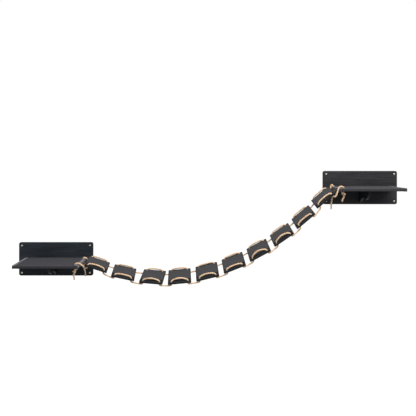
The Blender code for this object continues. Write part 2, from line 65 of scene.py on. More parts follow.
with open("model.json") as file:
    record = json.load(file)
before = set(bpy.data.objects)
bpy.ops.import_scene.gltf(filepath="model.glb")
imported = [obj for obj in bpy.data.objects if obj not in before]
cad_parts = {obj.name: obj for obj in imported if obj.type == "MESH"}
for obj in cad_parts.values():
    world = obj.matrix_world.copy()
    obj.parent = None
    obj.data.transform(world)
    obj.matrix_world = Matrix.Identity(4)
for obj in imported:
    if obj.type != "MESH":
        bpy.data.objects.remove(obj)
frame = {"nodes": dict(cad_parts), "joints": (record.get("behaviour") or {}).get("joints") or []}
CAD_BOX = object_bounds()

SHELF_BODY = "shelves_and_ropes"
SHELF_SIDES = ("left", "right")
ROPE_SIDES = {"near": -1, "far": 1}
TREADS = [joint["child"] for joint in frame["joints"]]
UP = Vector((0, 0, 1))

# The ropes' route through the treads and shelves: the solid model's, but closer to the shelves'
# edges and with lower far arches
ROPE_HOLE_INSET = 0.013
ROPE_HOLE_END_INSET = 0.017
ROPE_STRAIGHT = 0.003
ROPE_UNDER_DROP = 0.010
NEAR_ARCHES = (0.012, 0.0105, 0.0155, 0.017, 0.0155, 0.0115, 0.021, 0.018, 0.0105, 0.012)
FAR_ARCHES = (0.009, 0.0085, 0.0115, 0.0115, 0.0083, 0.0092, 0.0105, 0.0094, 0.0095, 0.009)
ARCHES = {"near": NEAR_ARCHES, "far": FAR_ARCHES}
PLATFORM_HOLE_INSETS = {"near": 0.020, "far": 0.0105}
EDGE_BEND_REACHES = {"near": 0.0060, "far": 0.0050}
EDGE_LIFTS = {"near": 0.0012, "far": 0.0025}
EDGE_ANGLES = {"left": math.radians(16), "right": math.radians(40)}
EDGE_PULL = 0.3
END_HOLE_PULLS = {"left": 0.018, "right": 0.030}
BOW_HOLE_PULL = 0.010
BOW_FLATNESS = 0.5
CURVE_STEPS = 10

# Soft rope bends nearer the holes, so each arch is a little rounder than the solid one
ARCH_STRAIGHT = 0.001
ARCH_HOLE_PULLS = {"near": 0.008, "far": 0.0102}
ARCH_FLATNESS = {"near": 0.42, "far": 0.15}

# The tails below the knots: drop below the platform, sideways reach and sideways swing
TAILS = {
    ("left", "near"): (0.059, -0.004, -0.014),
    ("left", "far"): (0.073, 0.0115, 0.008),
    ("right", "near"): (0.050, -0.007, 0.0),
    ("right", "far"): (0.102, -0.0115, -0.008),
}

# The photograph's camera, in front of the wall, with its view shifted to the photograph's framing
CAMERA_PLACE = (0.720, -2.822, 0.527)
CAMERA_LENS = 45.1
CAMERA_SHIFT = (0.0445, -0.1123)
CAMERA_SENSOR = 36.0

# The lamps' places and the points they face
LAMPS = {
    "key": ((1.05, -1.25, 3.6), (0.72, -0.1, 0.15)),
    "fill": ((2.3, -2.6, 1.75), (0.9, -0.1, 0.2)),
}
LAMP_SIZE = 1.6
FLOOR_REACH = 20
SKY_COLOUR = (0.98, 0.99, 1.0)
WHITE = (1.0, 1.0, 1.0)


class Wire:
    """An output socket that can be used in Python expressions, each of which adds a Math node."""

    def __init__(self, paint, socket):
        self.paint = paint
        self.socket = socket

    def math(self, operation, *values):
        settings = {"operation": operation}
        return self.paint.node("ShaderNodeMath", settings, dict(enumerate(values)))

    def __add__(self, other):
        return self.math("ADD", self, other)

    def __sub__(self, other):
        return self.math("SUBTRACT", self, other)

    def __rsub__(self, other):
        return self.math("SUBTRACT", other, self)

    def __mul__(self, other):
        return self.math("MULTIPLY", self, other)

    __radd__ = __add__
    __rmul__ = __mul__

    def sine(self):
        return self.math("SINE", self)

    def size(self):
        return self.math("ABSOLUTE", self)

    def ramp(self, low, high):
        """0 below low and 1 above high, with a smooth step between them."""
        settings = {"interpolation_type": "SMOOTHSTEP"}
        return self.paint.node("ShaderNodeMapRange", settings, {0: self, 1: low, 2: high})


class Paint:
    """A material, or the world, and the nodes that make its finish."""

    def __init__(self, name, kind="materials"):
        self.owner = getattr(bpy.data, kind).new(name)
        self.owner.use_nodes = True
        self.tree = self.owner.node_tree
        self.shader = self.tree.nodes.get("Principled BSDF") or self.tree.nodes["Background"]

    def node(self, kind, settings=None, values=None, output=0):
        made = self.tree.nodes.new(kind)
        for name, value in (settings or {}).items():
            setattr(made, name, value)
        for key, value in (values or {}).items():
            self.feed(made.inputs[key], value)
        return Wire(self, made.outputs[output])

    def feed(self, socket, value):
        if isinstance(value, Wire):
            self.tree.links.new(value.socket, socket)
        else:
            socket.default_value = value

    def set(self, **values):
        """Sets the shader's own sockets, named with underscores for spaces."""
        for name, value in values.items():
            self.feed(self.shader.inputs[name.replace("_", " ")], value)

    def place(self, matrix=Matrix.Identity(4)):
        """The object's own coordinates, turned into those of a piece that stands at the matrix."""
        inverse = matrix.inverted()
        spot = self.node("ShaderNodeTexCoord", output="Object")
        values = {"Vector": spot, "Location": inverse.translation, "Rotation": inverse.to_euler()}
        return self.node("ShaderNodeMapping", None, values)

    def vector(self, operation, first, second, output=0):
        settings = {"operation": operation}
        return self.node("ShaderNodeVectorMath", settings, {0: first, 1: second}, output)

    def noise(self, spot, scales, detail=3.0, roughness=0.5, distortion=0.0):
        """Noise with one scale, or with a scale for each axis."""
        if not isinstance(scales, tuple):
            scales = (scales, scales, scales)
        values = {
            "Vector": self.vector("MULTIPLY", spot, scales), "Scale": 1.0, "Detail": detail,
            "Roughness": roughness, "Distortion": distortion,
        }
        return self.node("ShaderNodeTexNoise", None, values)

    def mix(self, share, first, second):
        """A colour between two others."""
        values = {0: share, 6: first, 7: second}
        return self.node("ShaderNodeMix", {"data_type": "RGBA"}, values, 2)

    def apart(self, vector):
        """The three parts of a vector."""
        split = self.node("ShaderNodeSeparateXYZ", None, {0: vector})
        return [Wire(self, socket) for socket in split.socket.node.outputs]

    def bump(self, height, strength, distance):
        values = {"Height": height, "Strength": strength, "Distance": distance}
        self.set(Normal=self.node("ShaderNodeBump", None, values))

    def rubbed_glint_edges(self, radius):
        """1 on the convex and concave edges of a piece, and 0 on its flats."""
        rounded = self.node("ShaderNodeBevel", {"samples": 6}, {"Radius": radius})
        plain = self.node("ShaderNodeNewGeometry", output="Normal")
        flat = self.vector("DOT_PRODUCT", rounded, plain, "Value")
        return (1 - flat).ramp(0.02, 0.30)

    def show(self, shown):
        """Shows its own shader to most rays, and another to the camera, metal and glass."""
        path = self.node("ShaderNodeLightPath").socket.node.outputs
        kinds = ("Camera", "Glossy", "Transmission")
        seen, *others = (Wire(self, path[f"Is {kind} Ray"]) for kind in kinds)
        for other in others:
            seen = seen.math("MAXIMUM", seen, other)
        values = {0: seen, 1: Wire(self, self.shader.outputs[0]), 2: shown}
        output = self.tree.nodes.get("Material Output") or self.tree.nodes["World Output"]
        self.feed(output.inputs["Surface"], self.node("ShaderNodeMixShader", None, values))


def shade(colour, share=1.0):
    """A property's colour as a node's four numbers, made lighter or darker by a share."""
    return (*(min(1.0, part * share) for part in colour), 1.0)


def finish_mesh(bm, name, smooth=False):
    for face in bm.faces if smooth else ():
        face.smooth = True
    data = bpy.data.meshes.new(name)
    bm.to_mesh(data)
    bm.free()
    return data


def new_object(name, data, matrix=Matrix.Identity(4)):
    made = bpy.data.objects.new(name, data)
    bpy.context.scene.collection.objects.link(made)
    made.matrix_world = matrix
    return made


def new_piece(name, data, material, body, replaces, matrix=Matrix.Identity(4)):
    """A finished piece in the scene, riding on its body in place of its plain solids."""
    piece = new_object(name, data, matrix)
    data.materials.clear()
    data.materials.append(material)
    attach(piece, body)
    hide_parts(*replaces)
    return piece


def new_rope_piece(name, bm, material, *replaces):
    data = finish_mesh(bm, name)
    return new_piece(name, data, material, SHELF_BODY, replaces)


def dress(node, material):
    """Gives a solid of the model its finish."""
    piece = frame["nodes"][node]
    piece.data.materials.clear()
    piece.data.materials.append(material)


def tread_matrix(tread):
    """A tread's centre and axes: along the bridge, across it towards the wall, and up out of it."""
    joint = next(joint for joint in frame["joints"] if joint["child"] == tread)
    across = Vector(joint["axis"]).normalized()
    faces = frame["nodes"][f"{tread}_board"].data.polygons
    upward = max(faces, key=lambda face: face.area).normal.copy()
    if upward.z < 0:
        upward.negate()
    upward = (upward - across * upward.dot(across)).normalized()
    turned = Matrix((across.cross(upward), across, upward)).transposed().to_4x4()
    return Matrix.Translation(joint["pos_m"]) @ turned


def corners_along(node, matrix):
    """The lowest and highest corners of a solid, along the axes of a matrix."""
    inverse = matrix.inverted()
    points = [inverse @ vert.co for vert in frame["nodes"][node].data.vertices]
    return [Vector([pick(p[i] for p in points) for i in range(3)]) for pick in (min, max)]


def tread_board_size():
    """The length, depth and thickness of a tread's board."""
    low, high = corners_along(f"{TREADS[0]}_board", tread_matrix(TREADS[0]))
    return high - low


def platform_corners(side):
    """The lowest and highest corners of a felt-covered platform."""
    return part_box(f"{side}_platform_felt")


# The ropes' route

def curve_points(start, start_pull, end, end_pull):
    """A cubic curve that leaves start by one pull and reaches end by another, without start."""
    first, last = start + start_pull, end - end_pull
    points = []
    for i in range(1, CURVE_STEPS + 1):
        t = i / CURVE_STEPS
        s = 1 - t
        points.append(start * s**3 + first * (3 * s * s * t) + last * (3 * s * t * t) + end * t**3)
    return points


def bowed_run(start, start_way, end, end_way, bow, pull=BOW_HOLE_PULL, flatness=BOW_FLATNESS):
    """A rope's run from one hole to the next, bowed out by a vector at its middle."""
    middle = (start + end) / 2 + bow
    flat = (end - start) / 2 * flatness
    return (
        curve_points(start, start_way * pull, middle, flat)
        + curve_points(middle, flat, end, end_way * pull)
    )


def platform_hole(side, rope):
    """A point at the platform's middle height on the axis of one of its rope holes."""
    low, high = platform_corners(side)
    knot_low, knot_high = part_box(f"{side}_{rope}_knot")
    knot = (knot_low + knot_high) / 2
    return Vector((knot.x, knot.y, (low.z + high.z) / 2))


def shelf_end_run(side, rope, diameter, tread_hole, tread_up):
    """The rope from a platform's hole, over the platform's end and down to the end tread's hole."""
    outward = Vector((1, 0, 0)) if side == "left" else Vector((-1, 0, 0))
    low, high = platform_corners(side)
    rise = UP * (high.z - low.z) / 2
    hole = platform_hole(side, rope)
    bend = EDGE_BEND_REACHES[rope]
    over = hole + outward * PLATFORM_HOLE_INSETS[rope]
    over += rise + UP * (diameter / 2 + EDGE_LIFTS[rope])
    away = around(-EDGE_ANGLES[side], outward, UP)
    reach = (tread_hole - over).length
    return (
        [hole - rise, hole + rise]
        + curve_points(hole + rise, UP * bend, over, away * bend)
        + curve_points(over, away * EDGE_PULL * reach, tread_hole, tread_up * END_HOLE_PULLS[side])
    )


def rope_route(rope, diameter):
    """A rope's route from the left platform's hole to the right one's, through every tread."""
    length, depth, thickness = tread_board_size()
    reach = length / 2 - ROPE_HOLE_END_INSET
    y = ROPE_SIDES[rope] * (depth / 2 - ROPE_HOLE_INSET)
    below, above = -thickness / 2 - ROPE_STRAIGHT, thickness / 2 + ARCH_STRAIGHT
    points = []
    for tread, arch in zip(TREADS, ARCHES[rope]):
        matrix = tread_matrix(tread)
        up = matrix.to_3x3() @ UP
        spots = ((-reach, below), (-reach, above), (reach, above), (reach, below))
        entry, left_top, right_top, leave = (matrix @ Vector((x, y, z)) for x, z in spots)
        if points:
            bow = (down - up).normalized() * (ROPE_UNDER_DROP - ROPE_STRAIGHT)
            points += bowed_run(last, down, entry, up, bow)
        else:
            points += shelf_end_run("left", rope, diameter, entry, up)
        points.append(left_top)
        points += bowed_run(
            left_top, up, right_top, -up, up * (arch - ARCH_STRAIGHT), ARCH_HOLE_PULLS[rope],
            ARCH_FLATNESS[rope],
        )
        points.append(leave)
        last, down = leave, -up
    return points + shelf_end_run("right", rope, diameter, last, -down)[-2::-1]


def around(angle, side, up):
    """The direction at an angle from side, turned towards up."""
    return math.cos(angle) * side + math.sin(angle) * up


def full_turn(count):
    return [2 * math.pi * k / count for k in range(count)]


def cross_ways(way):
    """Two directions at right angles to a way."""
    side = way.orthogonal().normalized()
    return side, way.cross(side)


def line_steps(line):
    return np.linalg.norm(np.diff(line, axis=0), axis=1)


def evenly(points, spacing):
    """The same line with points an even distance apart."""
    line = np.array([tuple(point) for point in points])
    arc = np.concatenate(([0.0], np.cumsum(line_steps(line))))
    count = max(2, round(arc[-1] / spacing) + 1)
    spots = np.linspace(0.0, arc[-1], count)
    return np.column_stack([np.interp(spots, arc, line[:, i]) for i in range(3)])


def smoothed(line, rounds=1, share=0.5):
    """The line with its points drawn towards the middle of their neighbours, its ends kept."""
    line = line.copy()
    for _ in range(rounds):
        line[1:-1] += share * ((line[:-2] + line[2:]) / 2 - line[1:-1])
    return line


def turning_frames(line):
    """A line's tangents and two cross directions, which turn as little as they can."""
    tangents = np.gradient(line, axis=0)
    tangents /= np.linalg.norm(tangents, axis=1)[:, None]
    side = Vector(tangents[0]).orthogonal().normalized()
    sides = []
    for before, after in zip(np.vstack((tangents[:1], tangents)), tangents):
        side = Vector(before).rotation_difference(Vector(after)) @ side
        side = (side - Vector(after) * side.dot(Vector(after))).normalized()
        sides.append(tuple(side))
    sides = np.array(sides)
    return tangents, sides, np.cross(tangents, sides)


# The first number of each kind of random draw
SEEDS = {
    "screw_turn": 4, "rope_fuzz": 10, "knot": 20, "knot_fuzz": 30, "tail": 40, "tail_fuzz": 50,
    "fray": 60,
}
BOARD_SEED = 10
SIDE_SEED_STEP = 3
FELT_SEED_STEP = 5.0


# Twisted rope

STRANDS = 3
RING_SIDES = 8 * STRANDS
STRAND_VALLEY = 0.66
VALLEY_SHARPNESS = 0.62
STRAND_ROUGHNESS = 0.012
SWELL_SCALE = 90
FIBRE_SIDES = 3
FIBRE_STEPS = 4
FIBRE_TAPER = 0.7

# Loose fibres, as shares of the rope's diameter, of their settings' length or of their direction
FUZZ_ROOT = 0.42
FUZZ_RISE = (0.15, 0.6)
FUZZ_CURL = (-0.3, 0.5)
FUZZ_WEIGHT = -0.15
FUZZ_LENGTHS = (0.4, 1.0)
FRAY_AREA = (0.0, 0.7)
FRAY_ROOT = 0.1
FRAY_SPREAD = (0.05, 0.5)
FRAY_CURL = (-0.2, 0.3)
FRAY_LENGTHS = (0.5, 1.0)


def along_layer(bm):
    """The UV map that keeps a rope's length and angle."""
    return bm.loops.layers.uv.get("along") or bm.loops.layers.uv.new("along")


def ring_faces(bm, rings):
    """New faces from each ring of points to the next, each with its ring's number and its own."""
    for i, (lower, upper) in enumerate(zip(rings, rings[1:])):
        for k in range(len(lower)):
            after = (k + 1) % len(lower)
            yield i, k, bm.faces.new((lower[k], lower[after], upper[after], upper[k]))


def strand_outline(angle):
    """The rope's outline as a share of its radius, with one lobe for each strand."""
    lobe = abs(math.cos(STRANDS * angle / 2))
    return STRAND_VALLEY + (1 - STRAND_VALLEY) * lobe**VALLEY_SHARPNESS


def add_twisted_tube(bm, line, settings, start_arc=0.0, seed=0):
    """A rope of twisted strands on an even line, with its length and angle kept as a UV map."""
    rng = random.Random(seed)
    layer = along_layer(bm)
    _, sides, ups = turning_frames(line)
    spacing = float(line_steps(line).mean())
    radius = settings.diameter / 2
    rings = []
    for i, (centre, side, up) in enumerate(zip(line, sides, ups)):
        turn = 2 * math.pi * (start_arc + i * spacing) / settings.lay_length
        swell = 1 + settings.unevenness * noise.noise(Vector(centre) * SWELL_SCALE)
        ring = []
        for angle in full_turn(RING_SIDES):
            wobble = 1 + rng.uniform(-STRAND_ROUGHNESS, STRAND_ROUGHNESS)
            reach = radius * strand_outline(angle) * swell * wobble
            ring.append(bm.verts.new(centre + reach * around(angle + turn, side, up)))
        rings.append(ring)
    for i, k, face in ring_faces(bm, rings):
        face.smooth = True
        corners = ((i, k), (i, k + 1), (i + 1, k + 1), (i + 1, k))
        for loop, (ring_number, step) in zip(face.loops, corners):
            loop[layer].uv = (start_arc + ring_number * spacing, step / RING_SIDES)
    bm.faces.new(rings[0][::-1])
    bm.faces.new(rings[-1])


def add_fibre(bm, start, way, droop, length, radius):
    """One loose fibre: a fine tapering tube that bends as it leaves the rope."""
    layer = along_layer(bm)
    side, up = cross_ways(way)
    rings = []
    for step in range(FIBRE_STEPS + 1):
        share = step / FIBRE_STEPS
        centre = start + way * (length * share) + droop * (length * share * share)
        thin = radius * (1 - FIBRE_TAPER * share)
        angles = full_turn(FIBRE_SIDES)
        rings.append([bm.verts.new(centre + thin * around(a, side, up)) for a in angles])
    for _, k, face in ring_faces(bm, rings):
        for loop in face.loops:
            loop[layer].uv = (length, k / FIBRE_SIDES)
    bm.faces.new(rings[-1])


def add_fuzz(bm, line, settings, seed, blocked=lambda spot: False):
    """Loose fibres that stand out of a rope here and there, where nothing blocks them."""
    rng = random.Random(seed)
    tangents, sides, ups = turning_frames(line)
    for _ in range(round(line_steps(line).sum() * settings.fuzz_density)):
        i = rng.randrange(2, len(line) - 2)
        angle = rng.uniform(0, 2 * math.pi)
        out = Vector(around(angle, sides[i], ups[i]))
        along = Vector(tangents[i]) * rng.choice((-1, 1))
        start = Vector(line[i]) + out * settings.diameter * FUZZ_ROOT
        way = (along + out * rng.uniform(*FUZZ_RISE)).normalized()
        droop = out * rng.uniform(*FUZZ_CURL) + UP * FUZZ_WEIGHT
        length = rng.uniform(*FUZZ_LENGTHS) * settings.fuzz_length
        spots = [start + (way * share + droop * share * share) * length for share in (0, 0.5, 1)]
        if not any(blocked(spot) for spot in spots):
            add_fibre(bm, start, way, droop, length, settings.fibre_radius)


def add_fray(bm, end, way, settings, seed):
    """The brush of loose fibres at a rope's cut end."""
    rng = random.Random(seed)
    for _ in range(settings.fray_count):
        angle = rng.uniform(0, 2 * math.pi)
        reach = settings.diameter / 2 * math.sqrt(rng.uniform(*FRAY_AREA))
        out = around(angle, *cross_ways(way))
        start = end + out * reach - way * settings.diameter * FRAY_ROOT
        heading = (way + out * rng.uniform(*FRAY_SPREAD)).normalized()
        length = rng.uniform(*FRAY_LENGTHS) * settings.fray_length
        droop = out * rng.uniform(*FRAY_CURL)
        add_fibre(bm, start, heading, droop, length, 2 * settings.fibre_radius)


# Overhand knots

KNOT_POINTS = 68
KNOT_CURVE_REACH = 2.08
KNOT_STEPS = 420
KNOT_SKIP = 5
KNOT_PASSES = 12
KNOT_DRAW_SHARE = 0.75
KNOT_SMOOTHING = 0.10
KNOT_PUSH = 0.25
KNOT_STIFFNESS = 0.7
KNOT_LOOSE_SCALE = 0.0075
KNOT_ENDS_APART = 0.090
KNOT_ROPE_LENGTH = 0.168
KNOT_CLOSENESS = 0.90
KNOT_CUT = 1.55
KNOT_STRETCH = (1.20, 1.0, 0.88)
KNOT_GAP = 0.0004
KNOT_ENTRY = 0.004
KNOT_RINGS_PER_DIAMETER = 6
KNOT_LEAD = 3
KNOT_FACINGS = {
    ("left", "near"): 0.0,
    ("left", "far"): math.radians(160),
    ("right", "near"): math.radians(205),
    ("right", "far"): math.radians(20),
}
LEAST_CORD = 6


def loose_overhand():
    """A loose overhand knot, from a polynomial curve with its ends turned to run up and down."""
    t = np.linspace(-KNOT_CURVE_REACH, KNOT_CURVE_REACH, KNOT_POINTS)
    line = np.column_stack((t**3 - 3 * t, t**4 - 4 * t**2, t**5 / 5 - 2 * t))
    line -= (line[0] + line[-1]) / 2
    turned = Vector(line[0]).rotation_difference(UP)
    return np.array([tuple(turned @ Vector(point)) for point in line]) * KNOT_LOOSE_SCALE


def push_apart(line, gap):
    """Moves stretches of the line that are nearer each other than the gap away from each other."""
    offsets = line[:, None] - line[None, :]
    distances = np.linalg.norm(offsets, axis=2) + 1e-9
    numbers = np.arange(len(line))
    far_along = abs(numbers[:, None] - numbers[None, :]) >= KNOT_SKIP
    short = np.where(far_along & (distances < gap), gap - distances, 0.0)
    return line + KNOT_PUSH * (offsets / distances[:, :, None] * short[:, :, None]).sum(axis=1)


def tight_overhand(diameter):
    """The centreline of an overhand knot whose ends are drawn apart until the rope holds them."""
    line = loose_overhand()
    step = KNOT_ROPE_LENGTH / (KNOT_POINTS - 1)
    start_apart = float(line[0, 2] - line[-1, 2])
    for turn in range(KNOT_STEPS):
        share = min(1.0, turn / (KNOT_DRAW_SHARE * KNOT_STEPS))
        half = (start_apart + (KNOT_ENDS_APART - start_apart) * share) / 2
        line = push_apart(smoothed(line, share=KNOT_SMOOTHING), KNOT_CLOSENESS * diameter)
        for _ in range(KNOT_PASSES):
            line[0], line[-1] = (0, 0, half), (0, 0, -half)
            ways = np.diff(line, axis=0)
            stretch = 1 - step / np.linalg.norm(ways, axis=1)[:, None]
            pulls = KNOT_STIFFNESS * (ways * stretch / 2)
            line[:-1] += pulls
            line[1:] -= pulls
    line[0], line[-1] = (0, 0, half), (0, 0, -half)
    return line


def knot_line(diameter):
    """The tight knot's centreline from its top down, with the rope's ends above and below it."""
    line = tight_overhand(diameter)
    line = line[abs(line[:, 2]) < KNOT_CUT * diameter]
    line[:, 1] -= (line[0, 1] + line[-1, 1]) / 2
    line = smoothed(evenly(line * KNOT_STRETCH, diameter / KNOT_RINGS_PER_DIAMETER), 2)
    line[:, 2] -= float(line[KNOT_LEAD:-KNOT_LEAD, 2].max()) + diameter / 2 + KNOT_GAP
    return line


# Sewn and padded goods

FACING = 0.5
CORNER_STEPS = 5
EDGE_STEPS = 3
GROOVE_REACH = 0.0008
SEAM_CLEARANCE = 0.0022
PLEAT_REACH = 0.0022
HEM_WAVE = 0.0011
HEM_WAVE_SCALE = 40
HEM_WAVE_CELLS = 0.6
SLACK_SCALE = 16
FELT_PILE_SCALE = 420
PAD_PILE_SCALE = 520
PAD_WAVE_SCALE = 30
PAD_WAVE = 0.35
PAD_SEED_STEPS = (7.3, 3.1)
CROWN_REACH = 0.012


def stops(half, band, steps, cell, whole=True):
    """Places along a side from -half to half, close together in the rounded bands at its ends."""
    flat = 2 * (half - band)
    count = max(1, round(flat / cell))
    edge = [-half + band * i / steps for i in range(steps)]
    inner = [-half + band + flat * i / count for i in range(count + 1)]
    places = edge + inner + [-place for place in reversed(edge)]
    return places if whole else [place for place in places if place < half - band] + [half]


def soften(point, half, corner, edge, open_rear):
    """A point on a box, moved onto the same box with rounded corners and edges, and its way out."""
    rear = half.y if open_rear else half.y - corner
    core = Vector((
        min(max(point.x, corner - half.x), half.x - corner),
        min(max(point.y, corner - half.y), rear),
    ))
    away = Vector(point[:2]) - core
    band = max(abs(away.x), abs(away.y))
    heading = away.normalized() if band > 0 else Vector((0, 0))
    beyond = max(0.0, band - (corner - edge))
    above = max(0.0, abs(point.z) - (half.z - edge))
    lift = math.hypot(beyond, above)
    if lift > 0:
        scale = max(beyond, above) / lift
        band = min(band, corner - edge) + beyond * scale
        level = math.copysign(half.z - edge + above * scale, point.z) if above else point.z
        outward = Vector((*(heading * beyond), math.copysign(above, point.z))).normalized()
    else:
        level, outward = point.z, Vector((*heading, 0)).normalized()
    return Vector((*(core + heading * band), level)), outward


def box_net(bm, places, wanted):
    """A grid over the sides of a box for which wanted is true, with its corners shared."""
    verts = {}

    def spot_of(*numbers):
        return Vector([places[axis][number] for axis, number in enumerate(numbers)])

    for axis in range(3):
        first, second = (axis + 1) % 3, (axis + 2) % 3
        for index, way in ((0, -1), (len(places[axis]) - 1, 1)):
            for i, j in product(range(len(places[first]) - 1), range(len(places[second]) - 1)):
                corners = []
                for a, b in ((i, j), (i + 1, j), (i + 1, j + 1), (i, j + 1)):
                    corner = [index] * 3
                    corner[first], corner[second] = a, b
                    corners.append(tuple(corner))
                middle = sum((spot_of(*corner) for corner in corners), Vector((0, 0, 0))) / 4
                if wanted(axis, way, middle):
                    for corner in corners[::way]:
                        if corner not in verts:
                            verts[corner] = bm.verts.new(spot_of(*corner))
                    bm.faces.new([verts[corner] for corner in corners[::way]])


def felt_skin(settings, half, seed):
    """The felt cover as a thin closed skin: top, front, ends and a hem, open at the back."""
    bm = bmesh.new()
    corner, edge, cell, hem = (
        settings.corner_radius, settings.edge_radius, settings.cell, settings.hem,
    )
    seam = half.x - settings.end_strip
    xs = stops(half.x, corner, CORNER_STEPS, cell)
    xs = [x for x in xs if abs(abs(x) - seam) > SEAM_CLEARANCE]
    xs += [way * (seam + GROOVE_REACH * step) for way in (-1, 1) for step in range(-2, 3)]
    ys = stops(half.y, corner, CORNER_STEPS, cell, whole=False)
    zs = stops(half.z, edge, EDGE_STEPS, cell)

    def wanted(axis, way, middle):
        if axis == 1 and way > 0:
            return False
        if axis == 2 and way < 0:
            return abs(middle.x) > half.x - hem or middle.y < hem - half.y
        return True

    box_net(bm, (sorted(xs), ys, zs), wanted)
    outer_faces = list(bm.faces)
    inner = {}
    for vert in list(bm.verts):
        place, outward = soften(vert.co, half, corner, edge, True)
        under = outward.z < -FACING
        cut = max(abs(place.x) - (half.x - hem), (hem - half.y) - place.y)
        if under and cut < cell * HEM_WAVE_CELLS:
            ripple = Vector((place.x * HEM_WAVE_SCALE, place.y * HEM_WAVE_SCALE, seed))
            wave = HEM_WAVE * noise.noise(ripple)
            place += Vector((wave, wave, 0))
        slack = settings.wrinkle / 2 * noise.noise(place * SLACK_SCALE + Vector((seed, 0, 0)))
        pile = settings.pile * noise.noise(place * FELT_PILE_SCALE + Vector((0, seed, 0)))
        fold = 0.0
        if outward.z > FACING:
            fold = -settings.groove * math.exp(-((abs(place.x) - seam) / GROOVE_REACH) ** 2)
        elif under and place.y < 0:
            mitre = abs((half.x - abs(place.x)) - (place.y + half.y)) / math.sqrt(2)
            fold = settings.fold * math.exp(-(mitre / PLEAT_REACH) ** 2)
        vert.co = place + outward * (slack + pile + fold)
        inner[vert] = bm.verts.new(place - outward * settings.thickness)
    for face in outer_faces:
        bm.faces.new([inner[vert] for vert in face.verts][::-1])
    for face in outer_faces:
        for loop in face.loops:
            if len(loop.edge.link_faces) == 1:
                a, b = loop.vert, loop.link_loop_next.vert
                bm.faces.new((b, a, inner[a], inner[b]))
    return bm


def pad_form(settings, half, seed):
    """A pad's form: rounded in plan and at its edges, crowned a little and rough with its pile."""
    bm = bmesh.new()
    corner, edge, cell = settings.corner_radius, settings.edge_radius, settings.cell
    pile_shift, wave_shift = (seed * step for step in PAD_SEED_STEPS)
    bands = [(half.x, corner, CORNER_STEPS), (half.y, corner, CORNER_STEPS)]
    bands.append((half.z, edge, EDGE_STEPS))
    box_net(bm, [stops(*band, cell) for band in bands], lambda axis, way, middle: True)
    for vert in bm.verts:
        place, outward = soften(vert.co, half, corner, edge, False)
        if outward.z > -FACING:
            inset = max(0.0, min(half.x - abs(place.x), half.y - abs(place.y)))
            crown = settings.crown * min(1.0, inset / CROWN_REACH) ** 0.5
            pile = noise.noise(place * PAD_PILE_SCALE + Vector((pile_shift, 0, 0)))
            wave = noise.noise(place * PAD_WAVE_SCALE + Vector((0, wave_shift, 0)))
            rise = max(0.0, outward.z) * (crown + PAD_WAVE * settings.crown * wave)
            place += outward * settings.pile * pile + UP * rise
        vert.co = place
    return bm


# Screws, and the tools that cut

TOOL_SIDES = 28
SCREW_SIDES = 40
DOME_STEPS = 8
DOME_RIM = 0.35
DOME_SHAPE = 0.8
SUNK_EDGE = 0.0002
POINT_LENGTH = 2.2
RECESS_REACH = 0.62
RECESS_TIP_REACH = 0.45
RECESS_TIP_WIDTH = 0.7


def cut_with(piece, tool_mesh, places):
    """Cuts a tool's shape out of a piece at each place, for good."""
    for matrix in places:
        tool = new_object("cutting_tool", tool_mesh, matrix)
        bpy.context.view_layer.update()
        cut = piece.modifiers.new("cut", "BOOLEAN")
        cut.operation, cut.solver, cut.object = "DIFFERENCE", "EXACT", tool
        with bpy.context.temp_override(object=piece, active_object=piece):
            bpy.ops.object.modifier_apply(modifier=cut.name)
        bpy.data.objects.remove(tool)


def round_tool(radius, height):
    bm = bmesh.new()
    bmesh.ops.create_cone(
        bm, cap_ends=True, segments=TOOL_SIDES, radius1=radius, radius2=radius, depth=height,
    )
    return finish_mesh(bm, "round_tool")


def turned_form(profile, sides):
    """A closed form turned about the Z axis, from points (radius, height) that end on the axis."""
    bm = bmesh.new()
    rings = []
    for radius, height in profile:
        angles = full_turn(sides if radius else 1)
        spots = [(radius * math.cos(a), radius * math.sin(a), height) for a in angles]
        rings.append([bm.verts.new(spot) for spot in spots])
    for upper, lower in zip(rings, rings[1:]):
        for k in range(sides):
            after = (k + 1) % sides
            places = ((upper, k), (lower, k), (lower, after), (upper, after))
            corners = dict.fromkeys(ring[i % len(ring)] for ring, i in places)
            bm.faces.new(tuple(corners))
    return bm


def cross_recess(width, reach, depth):
    """The tool for a cross recess: two crossed blades that narrow towards their tip."""
    tools = []
    for turn in (0, math.pi / 2):
        bm = bmesh.new()
        bmesh.ops.create_cube(bm, size=1)
        for vert in bm.verts:
            low = vert.co.z < 0
            vert.co.x *= 2 * reach * (RECESS_TIP_REACH if low else 1)
            vert.co.y *= width * (RECESS_TIP_WIDTH if low else 1)
            vert.co.z = -depth if low else depth
        bmesh.ops.rotate(bm, matrix=Matrix.Rotation(turn, 3, "Z"), verts=bm.verts)
        tools.append(finish_mesh(bm, "recess_tool"))
    return tools


# Finishes

STRIP_BLEND = 0.0004
STRIP_START = (0.002, 0.005)
# Painted highlight along the felt's rounded front edge: the depths below the top over which it fades
# in, and its strength
FRONT_HIGHLIGHT_DEPTHS = (0.0050, 0.0025)
FRONT_HIGHLIGHT_SHARE = 0.09
SEED_SHIFTS = (1.0, 0.37, 0.71)


